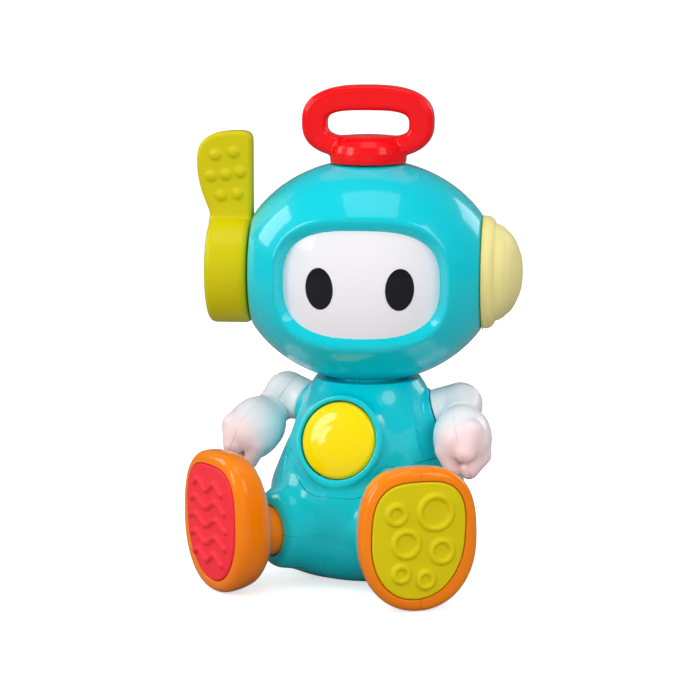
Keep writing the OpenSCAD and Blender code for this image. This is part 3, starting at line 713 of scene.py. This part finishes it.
hv, hq = surface(head_local, (-54, -52, -49), (54, 52, 51), 0.72)
headmesh = (hv, hq)
sy = (lambda P: np.stack([P[:, 0], P[:, 2], P[:, 1] - 10], 1), lambda P: np.stack([P[:, 0], P[:, 2] + 10, P[:, 1]], 1))


def place(ob, fr):
    """Moves a mesh built in a local frame (metres) into the row frame."""
    M = Matrix([list(fr.R[i]) + [fr.o[i] / 1000] for i in range(3)] + [[0, 0, 0, 1]])
    ob.data.transform(M)
    ob.data.update()
    return ob


give(place(shell("helmet_front", head_local, headmesh, [sy + (-1,)]), HEAD), "teal", "head", "head_front_shell")
give(place(shell("helmet_rear", head_local, headmesh, [sy + (1,)]), HEAD), "teal", "head", "head_rear_shell")


def plate_mesh(name, a_, b_, n_, y_of, thick, cx=0.0, cz=0.0, tilt=0.0, rings=40, seg=160, edge=0.4):
    """A domed panel with a rounded-rectangle outline, thin and closed, with a softened rim."""
    V, F = [], []
    ct, st = math.cos(tilt), math.sin(tilt)

    def ring(k, off):
        for j in range(seg):
            th = 2 * math.pi * j / seg
            cu, cv = math.cos(th), math.sin(th)
            u = a_ * k * math.copysign(abs(cu) ** (2 / n_), cu)
            v = b_ * k * math.copysign(abs(cv) ** (2 / n_), cv)
            x, z = cx + u * ct + v * st, cz - u * st + v * ct
            V.append((x, float(y_of(x, z)) + off, z))

    ks = [i / rings for i in range(1, rings)] + [1 - edge * 0.35 / a_]
    V.append((cx, float(y_of(cx, cz)), cz))
    for k in ks:
        ring(k, 0)
    ring(1.0, edge * 0.5)
    ring(1.0, thick)
    for k in ks[::-1]:
        ring(k, thick)
    V.append((cx, float(y_of(cx, cz)) + thick, cz))
    R = (len(V) - 2) // seg
    for j in range(seg):
        F.append([0, 1 + j, 1 + (j + 1) % seg])
        e = len(V) - 1
        F.append([e, 1 + (R - 1) * seg + (j + 1) % seg, 1 + (R - 1) * seg + j])
    for i in range(R - 1):
        for j in range(seg):
            p, q = 1 + i * seg + j, 1 + i * seg + (j + 1) % seg
            F.append([p, p + seg, q + seg, q])
    ob = to_mesh(name, V, F)
    bm = bmesh.new()
    bm.from_mesh(ob.data)
    bmesh.ops.recalc_face_normals(bm, faces=bm.faces)
    bm.to_mesh(ob.data)
    bm.free()
    ob.data.polygons.foreach_set("use_smooth", np.ones(len(ob.data.polygons), bool))
    ob.data.set_sharp_from_angle(angle=math.radians(60))
    return ob


give(place(plate_mesh("face", 36.5, 27.4, 2.7, plate_y, 1.8), HEAD), "face_white", "head", "face_plate")
for k, nm in ((-1, "right"), (1, "left")):
    give(place(plate_mesh("eye_print_" + nm, 6.15, 9.2, 2.0, lambda x, z: plate_y(x, z) - 0.18, 0.16, cx=17.5 * k, cz=-3.2,
                          tilt=a(3) * k, rings=16, seg=96, edge=0.1), HEAD), "eye_black", "head", "eye_" + nm)


# carry ring: one moulding, rounded strap with fine step lines on its faces
def handle_f(x, y, z):
    zz = z - 66.4
    o = superell(x, zz, 29.5, 16.5, 2.6)
    i = superell(x, zz + 0.9, 18.1, 5.8, 3.2)
    ring = smax(smax(o, -i, 0.8), np.abs(y) - 6.5 + 0.0 * x, 0.6)
    # rounded section: pull the strap's corners in
    mid = (o - i) * 0.5
    strap = np.maximum(o, -i)
    e = np.maximum(np.abs(y) - 2.6, 0) / 3.9
    sec = np.sqrt(np.maximum(strap + 3.4, 0) ** 2 + (e * 3.6) ** 2) - 3.5
    ring = smax(ring, sec, 1.0)
    # step lines
    for lv in (-2.1, -3.6):
        ring = ring + 0.16 * np.exp(-((o - lv) / 0.4) ** 2) * (np.abs(y) > 3)
    r = np.hypot(x, y)
    dome = base_dome(r, z)
    return smin(ring, dome, 1.6)


base_dome = turned([(0, 48.35), (16.8, 48.35), (16.95, 49.4), (17, 50.4), (16.7, 53), (15.8, 56), (14, 58.3), (11.5, 59.8), (8, 60.4), (0, 60.6)], smooth=False)
give(place(solid("carry_ring", handle_f, (-31, -18, 47), (31, 18, 85), 0.5), HEAD), "red", "head", "handle")

# squeaker: one rubber moulding, fixed skirt and pressing dome, turned here as a single rigid piece with a fold in its
# outline between them
EAR = Frame(HEAD.o, HEAD.R @ frame_of((1, 0, 0), (0, 1, 0)))
sk = [(5.3, 51.46), (24.3, 51.46), (24.8, 51.8), (25.1, 52.7), (25.0, 54.0), (24.3, 55.4), (23.0, 56.5), (21.9, 57.0), (21.5, 57.6), (21.3, 58.4), (20.8, 59.4), (20.2, 60.4), (19.8, 61.0), (19.3, 61.4),
      (18.8, 61.9), (18.0, 62.9), (17.0, 63.9), (15.6, 64.9), (13.4, 66.1), (10.6, 67.3), (7.6, 68.3), (4, 68.85), (0, 69.0)]
inner = [(0, 67.3), (7, 66.9), (12, 65.7), (15.6, 64.2), (17.2, 62.6), (17.6, 60.5), (18.4, 58.2), (19.2, 54), (5.3, 53.4)]
S_ = spline(sk, 5)
S_in = spline(inner, 5)
sq = lathe("squeaker_bellows", np.vstack([S_[::-1], S_in[::-1]]), EAR, smooth=False, seg=128)
sq.data.materials.append(MAT["cream"])
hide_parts("squeaker_skirt", "squeaker_cap")
p0, p1 = EAR.world([0, 0, 58.6]) / 1000, EAR.world([0, 0, 63.0]) / 1000
tuple(p0)
tuple(p1)
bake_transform(sq)


# antenna lever
def antenna_f(x, y, z):
    """x is the distance out from the head centre along the ear axis."""
    r = np.hypot(y, z)
    hub = smax(r - 24.1, np.abs(x - 61.4) - 9.6, 3.6)
    hub = smax(hub, 51.8 - x, 0.8)
    pad = pad_profile(x, z)
    pad = smax(pad, np.abs(y) - 5.5, 2.6)
    pad = np.maximum(pad, 4 - z)
    d = smin(hub, pad, 1.6)
    for bx, bz in ((67.7, 51.5), (59.6, 52.7), (69.6, 42.1), (63.1, 42.8), (56.7, 43.8), (65.3, 33.4), (58.0, 34.2)):
        s = np.sqrt((x - bx) ** 2 + (y + 4.1) ** 2 + (z - bz) ** 2) - 3.0
        d = np.where(y < 0, smin(d, s, 0.7), d)
    return d


po = spline([(51.75, 0), (51.75, 20), (51.75, 40), (51.75, 56), (52.0, 59.3), (53.0, 61.1), (55.2, 61.9), (58.5, 62.1), (61.6, 62), (65, 61.6), (68.3, 60.9), (71.8, 59.3), (74.5, 56.8),
             (76, 53), (76.5, 48.2), (76.1, 42.5), (74.7, 35.9), (72.3, 29.3), (70.9, 24.5), (70.7, 12), (70.7, 0)], 8)
pad_profile = Profile(po, pad=6, h=0.2)
ANT = Frame(HEAD.o, HEAD.R @ np.diag([-1.0, 1, 1]))
av, aq = surface(antenna_f, (50, -26, -26), (79, 26, 65), 0.6)
aw = ANT.world(av)
ao = to_mesh("antenna", aw, aq[:, ::-1].copy())
smooth_normals(ao, lambda x, y, z: antenna_f(*ANT.local(x, y, z)))
give(ao, "lime", "antenna", "antenna_lever")

# button lens with faint concentric ripples
lens = [(0.0, 5.2)]
for i in range(1, 60):
    r = 15.9 * i / 59
    z = 5.2 - 3.2 * (r / 17.1) ** 2.5
    for rr, h in ((4.8, 0.07), (8.6, 0.07), (12.2, 0.07)):
        z += h * math.exp(-((r - rr) / 0.9) ** 2)
    lens.append((r, z))
lens += [(16.5, 1.85), (16.95, 1.2), (17.1, 0.4), (17.1, -3.0), (15.2, -3.0), (15.0, -0.4), (12, 1.3), (6, 2.5), (0, 2.8)]
give(lathe("belly_lens", lens, BUT, smooth=False, seg=160), "yellow", "button", "button_lens")


# ------------------------------------------------------------------ arms
def upper_f(k):
    def f(x, y, z):
        u, v, w = SHO[k].local(x, y, z)
        r = np.hypot(u, v)
        ballc = np.sqrt(u * u + v * v + np.maximum(w - 11.6, 0) ** 2) - 9.7
        tube = smax(np.where(w > 11.6, ballc, r - 9.7), 0.15 - w, 0.9)
        p, q, s = ELB[k].local(x, y, z)
        boss = smax(np.hypot(p, q) - 8.6, s - 10.2, 0.9)
        boss = np.maximum(boss, -s)
        d = smin(tube, boss, 2.6)
        return np.where(np.hypot(p, q) < 12, smax(d, s - 10.1, 0.4), d)  # flat face for the forearm to turn on
    return f


fist_prof = turned([(0, 10.4), (8.2, 10.4), (8.35, 11), (8.8, 12.6), (10.4, 15), (12.2, 19), (12.9, 24), (12.6, 29), (11.2, 33.5), (8.8, 36.8), (5, 38.6), (0, 39.1)], n=10)


def fist_f(k):
    F = ELB[k]
    # local axes of the hand: up and outward, seen along the forearm
    up = np.array((0, 0, 1.0))
    up = unit(up - F.R[:, 2] * (up @ F.R[:, 2]))
    side_ = np.cross(F.R[:, 2], up)
    side_ *= np.sign(side_[0]) * k  # points outward
    H = Frame(F.o, np.stack([side_, up, F.R[:, 2]], 1))

    def f(x, y, z):
        p, q, s = H.local(x, y, z)
        egg = fist_prof(np.hypot(p, q), s)
        # hollow of the hand
        hole = capsule(p, q, s, (-1.4, -3.2, 50), (-1.4, -3.2, 33.5), 3.4, 2.2)
        egg = smax(egg, -hole, 2.2)
        thumb = capsule(p, q, s, (2.4, 7.4, 31.5), (0.8, 1.9, 38.2), 6.0, 4.9)
        fi = capsule(p, q, s, (-8.0, -1.6, 32.5), (-4.4, -7.4, 38.0), 4.3, 3.5)
        fo = capsule(p, q, s, (7.4, -4.0, 32.0), (2.6, -8.2, 37.6), 5.2, 4.2)
        d = smin(egg, thumb, 1.5)
        d = smin(d, fi, 1.3)
        return smin(d, fo, 1.3)
    return f


for k, nm in ((1, "left"), (-1, "right")):
    f = upper_f(k)
    c = EL * (k, 1, 1)
    lo, hi = c - [16, 20, 20], c + [16, 16, 16]
    lo[0] = min(lo[0], k * 29 - 3 if k > 0 else c[0] - 16)
    hi[0] = max(hi[0], c[0] + 16 if k > 0 else -26)
    base = surface(f, lo, hi, 0.5)
    R, o = SHO[k].R, SHO[k].o + SHO[k].R[:, 2] * 8.0
    Fc = Frame(o, R)
    cutf = (lambda P, F=Fc: (P - F.o) @ F.R, lambda P, F=Fc: P @ F.R.T + F.o)
    give(shell("upper_arm_root_" + nm, f, base, [cutf + (-1,)], wall=1.6, chamfer=0.22), "white", "upper_arm_" + nm, "upper_arm_inner_shell_" + nm)
    give(shell("upper_arm_end_" + nm, f, base, [cutf + (1,)], wall=1.6, chamfer=0.22), "white", "upper_arm_" + nm, "upper_arm_outer_shell_" + nm)
    f = fist_f(k)
    c = ELB[k].o + ELB[k].R[:, 2] * 25
    base = surface(f, c - 24, c + 24, 0.5)
    Fc = Frame(EL * (k, 1, 1), SHO[k].R)
    cutf = (lambda P, F=Fc: (P - F.o) @ F.R, lambda P, F=Fc: P @ F.R.T + F.o)
    fingertip_tint(k, nm, ELB[k].o, ELB[k].R[:, 2])
    give(shell("hand_outer_" + nm, f, base, [cutf + (1,)], wall=1.6, chamfer=0.22), "white_" + nm, "forearm_" + nm, "forearm_outer_half_" + nm)
    give(shell("hand_inner_" + nm, f, base, [cutf + (-1,)], wall=1.6, chamfer=0.22), "white_" + nm, "forearm_" + nm, "forearm_inner_half_" + nm)

# ------------------------------------------------------------------ feet
UP = 7.2
bell = np.array([(60.4, 1.4, 15.0, 14.8), (61.3, 2.4, 18.6, 17.2), (62.8, 3.7, 22.2, 19.9), (66, 5.9, 27.6, 23.2), (70, 7.1, 30.2, 25.0), (74, UP, 31.0, 25.8),
                 (77.6, UP, 31.2, 26.0), (79.8, UP, 30.6, 25.4), (81.4, UP, 29.2, 24.1), (82.4, UP, 27.2, 22.4), (83.0, UP, 24.5, 20)])
bs = spline(bell, 8)
order = np.argsort(bs[:, 0])
bs = bs[order]


def sole_d(u, v, grow=0.0):
    """Distance outside the sole outline: u up, v towards the middle of the body; square at the toe, round at the heel."""
    x = u - UP - 0.2
    V = np.clip(x / 25.3, -1.3, 1.3)
    p = (-v - 1.1 * V + 1.1) / ((20.5 + grow) * (1 + 0.03 * V))
    q = x / (25.3 + grow)
    n = np.where(q > 0, 3.1, 2.13)
    t_ = (np.abs(p) ** n + np.abs(q) ** n + 1e-9) ** (1 / n)
    return (t_ - 1) * 20.5 * 0.97


def foot_f(u, v, w):
    """u up, v inward, w out along the leg."""
    cx = np.interp(w, bs[:, 0], bs[:, 1])
    hx = np.interp(w, bs[:, 0], bs[:, 2])
    hy = np.interp(w, bs[:, 0], bs[:, 3])
    n = np.where(u > cx, 2.1 + 0.65 * np.clip((w - 62) / 8, 0, 1), 2.15)
    p, q = (u - cx) / hx, v / hy
    t_ = (np.abs(p) ** n + np.abs(q) ** n + 1e-9) ** (1 / n)
    lat = (t_ - 1) * np.minimum(hx, hy)
    slope = np.interp(w, bs[:, 0], np.gradient(bs[:, 2], bs[:, 0] + 1e-6 * np.arange(len(bs))))
    lat = lat / np.sqrt(1 + np.minimum(slope * slope, 9))
    d = smax(lat, w - 82.7, 1.6)
    d = smax(d, 60.4 - w, 1.0)
    # recess for the pad
    rec = np.maximum(sole_d(u, v, 0.3), 80.6 - w)
    return smax(d, -rec, 0.6)


def pad_base(u, v, w):
    e = sole_d(u, v, -0.05)
    top = 82.75 + 0.35 * np.clip(-e / 6, 0, 1)
    return smax(smax(e, w - top, 0.9), 80.7 - w, 0.3), e


RINGS = [(12.3, 10, 5.1), (12.4, -7.3, 8.3), (-0.6, 5.7, 6.7), (-4.6, -10, 5.9), (-13.4, 7.9, 4.5), (-16.5, -3, 4.5)]


def pad_rings(u, v, w):
    d, e = pad_base(u, v, w)
    for ru, rv, rr in RINGS:
        q = np.hypot(u - UP - ru, v - rv - 1.1) - (rr - 1.3)
        tor = np.sqrt(q * q + (w - 82.95) ** 2) - 1.4
        d = smin(d, tor, 0.7)
    return d


def pad_waves(u, v, w):
    d, e = pad_base(u, v, w)
    for i in range(-2, 3):
        half = 15.4 - 0.9 * i * i
        q = np.clip(v / half, -1, 1)
        th = np.radians(300 * (q + 0.75))
        slope = 1.8 * math.radians(300) / half * np.sin(th)
        ph = (u - UP - 0.6 - 7.8 * i - 1.8 * np.cos(th)) / np.sqrt(1 + slope * slope)
        q = np.sqrt(ph * ph + np.maximum(np.abs(v) - half, 0) ** 2)
        rid = np.sqrt(q * q + (w - 82.9) ** 2) - 1.45
        d = smin(d, rid, 0.6)
    return d


for k, nm in ((1, "left"), (-1, "right")):
    LF = LEG[k]
    Fw = lambda x, y, z, LF=LF: foot_f(*LF.local(x, y, z))
    base = surface(foot_f, (-26, -28, 59), (40, 28, 85), 0.5)
    W = LF.world(base[0])
    det = np.linalg.det(LF.R)
    Q = base[1] if det > 0 else base[1][:, ::-1].copy()
    R3 = np.stack([LF.R[:, 2], LF.R[:, 0], LF.R[:, 1]], 1)  # local z = inward axis
    cutf = (lambda P, F=LF, M=R3: (P - F.o) @ M, lambda P, F=LF, M=R3: P @ M.T + F.o)
    give(shell("foot_in_" + nm, Fw, (W, Q), [cutf + (1,)], wall=1.8), "orange", "leg_" + nm, "foot_inner_half_" + nm)
    give(shell("foot_out_" + nm, Fw, (W, Q), [cutf + (-1,)], wall=1.8), "orange", "leg_" + nm, "foot_outer_half_" + nm)
    pf = pad_rings if k > 0 else pad_waves
    V, Q = surface(pf, (-21, -25, 79), (35, 25, 86), 0.42)
    P = LF.world(V)
    po_ = to_mesh("sole_" + nm, P, Q if det > 0 else Q[:, ::-1].copy())
    smooth_normals(po_, lambda x, y, z, g=pf, F=LF: g(*F.local(x, y, z)))
    give(po_, "lime_pad" if k > 0 else "coral", "leg_" + nm, "sole_pad_" + nm)
    hub = [(8.6, 36.5), (13.6, 36.5), (14, 36.9), (14, 41.3), (13.6, 41.7), (11.2, 41.7), (11.2, 62.6), (11.5, 62.9), (13.2, 62.9), (13.5, 63.2), (13.5, 65.8), (13.3, 66), (8.6, 66)]
    give(lathe("ankle_" + nm, hub, LF, smooth=False, seg=96), "orange", "leg_" + nm, "leg_hub_" + nm)

# ------------------------------------------------------------------ studio
fl = bpy.data.meshes.new("floor")
n = 40
pts, fc = [], []
prof = [(-3.0 + 0.15 * i, 0.0) for i in range(24)]
for i, (yy, zz) in enumerate([(-3, 0), (1.2, 0)] + [(1.2 + 1.2 * math.sin(t), 1.2 - 1.2 * math.cos(t)) for t in np.linspace(0.05, math.pi / 2, 24)] + [(2.4, 5)]):
    for xx in (-5, 5):
        pts.append((xx, yy, zz - 0.0002))
for i in range(len(pts) // 2 - 1):
    fc.append((2 * i, 2 * i + 1, 2 * i + 3, 2 * i + 2))
fl.from_pydata(pts, [], fc)
fl.polygons.foreach_set("use_smooth", [True] * len(fc))
floor = bpy.data.objects.new("floor", fl)
bpy.context.scene.collection.objects.link(floor)
fm = bpy.data.materials.new("paper_sweep")
fm.use_nodes = True
fb = fm.node_tree.nodes["Principled BSDF"]
fb.inputs["Base Color"].default_value = (0.95, 0.95, 0.95, 1)
fb.inputs["Roughness"].default_value = 0.7
fb.inputs["Emission Color"].default_value = (1, 1, 1, 1)
fl_lp = fm.node_tree.nodes.new("ShaderNodeLightPath")
fl_mr = fm.node_tree.nodes.new("ShaderNodeMapRange")
fl_mr.inputs["To Min"].default_value = 0.0
fl_mr.inputs["To Max"].default_value = 0.62
fl_mix = fm.node_tree.nodes.new("ShaderNodeMix")  # seen as white paper, but throws less light up at the toy
fl_mix.data_type = "RGBA"
fl_mix.inputs[6].default_value = (0.3, 0.3, 0.3, 1)
fl_mix.inputs[7].default_value = (0.95, 0.95, 0.95, 1)
fm.node_tree.links.new(fl_lp.outputs["Is Camera Ray"], fl_mix.inputs["Factor"])
fm.node_tree.links.new(fl_mix.outputs[2], fb.inputs["Base Color"])
fm.node_tree.links.new(fl_lp.outputs["Is Camera Ray"], fl_mr.inputs["Value"])
fm.node_tree.links.new(fl_mr.outputs["Result"], fb.inputs["Emission Strength"])
fl.materials.append(fm)
az = a(21)
Rz = np.array([[math.cos(az), -math.sin(az), 0], [math.sin(az), math.cos(az), 0], [0, 0, 1]])


def light(name, pos, target, size, power, size_y=None, color=(1, 1, 1), gloss=True):
    ld = bpy.data.lights.new(name, "AREA")
    ld.shape = "RECTANGLE"
    ld.size = size
    ld.size_y = size_y or size
    ld.energy = power
    ld.color = color
    lo = bpy.data.objects.new(name, ld)
    bpy.context.scene.collection.objects.link(lo)
    p = Vector(Rz @ np.array(pos))
    lo.location = p
    lo.visible_glossy = gloss
    lo.rotation_euler = (Vector(target) - p).to_track_quat("-Z", "Y").to_euler()


light("key", (-1.25, -0.65, 0.8), (0, 0, 0.11), 0.5, 6.8, 0.85)
light("fill", (0.9, -0.8, 0.95), (0, 0, 0.1), 0.5, 3.4, 0.7)
light("front", (0.0, -1.5, 0.1), (0, 0, 0.1), 1.2, 9.5, 0.9, gloss=False)
light("top", (0.0, -0.25, 1.3), (0, 0, 0.1), 0.7, 2.2)
light("back_left", (-1.1, 0.35, 0.78), (0, 0, 0.12), 0.5, 3.4, 0.6)
light("back_right", (0.9, 0.7, 0.6), (0, 0, 0.12), 0.5, 2.0)
w = bpy.data.worlds.new("studio")
bpy.context.scene.world = w
w.use_nodes = True
w.node_tree.nodes["Background"].inputs["Color"].default_value = (1, 1, 1, 1)
wn = w.node_tree.nodes
lp = wn.new("ShaderNodeLightPath")
mr = wn.new("ShaderNodeMapRange")
mr.inputs["To Min"].default_value = 0.62
mr.inputs["To Max"].default_value = 1.0
gl = wn.new("ShaderNodeMath")  # little of the plain surround in the gloss, so the colours stay deep
gl.operation = "MULTIPLY_ADD"
gl.inputs[1].default_value = -0.54
w.node_tree.links.new(lp.outputs["Is Glossy Ray"], gl.inputs[0])
w.node_tree.links.new(lp.outputs["Is Camera Ray"], mr.inputs["Value"])
w.node_tree.links.new(mr.outputs["Result"], gl.inputs[2])
w.node_tree.links.new(gl.outputs[0], wn["Background"].inputs["Strength"])
bpy.context.scene.view_settings.view_transform = "Standard"
bpy.context.scene.view_settings.look = "None"
bpy.context.scene.cycles.caustics_reflective = False
bpy.context.scene.cycles.caustics_refractive = False
bpy.context.scene.cycles.sample_clamp_indirect = 2.0

cam = bpy.data.objects.new("camera", bpy.data.cameras.new("camera"))
bpy.context.scene.collection.objects.link(cam)
bpy.context.scene.camera = cam
cam.data.sensor_width = 36
cam.data.lens = 130
aim = Vector((-0.0076, -0.0029, 0.1004))
el = a(9.2)
d = 1.136
cam.location = aim + Vector((math.sin(az) * math.cos(el), -math.cos(az) * math.cos(el), math.sin(el))) * d
cam.rotation_euler = (aim - cam.location).to_track_quat("-Z", "Y").to_euler()
cam.data.clip_end = 20
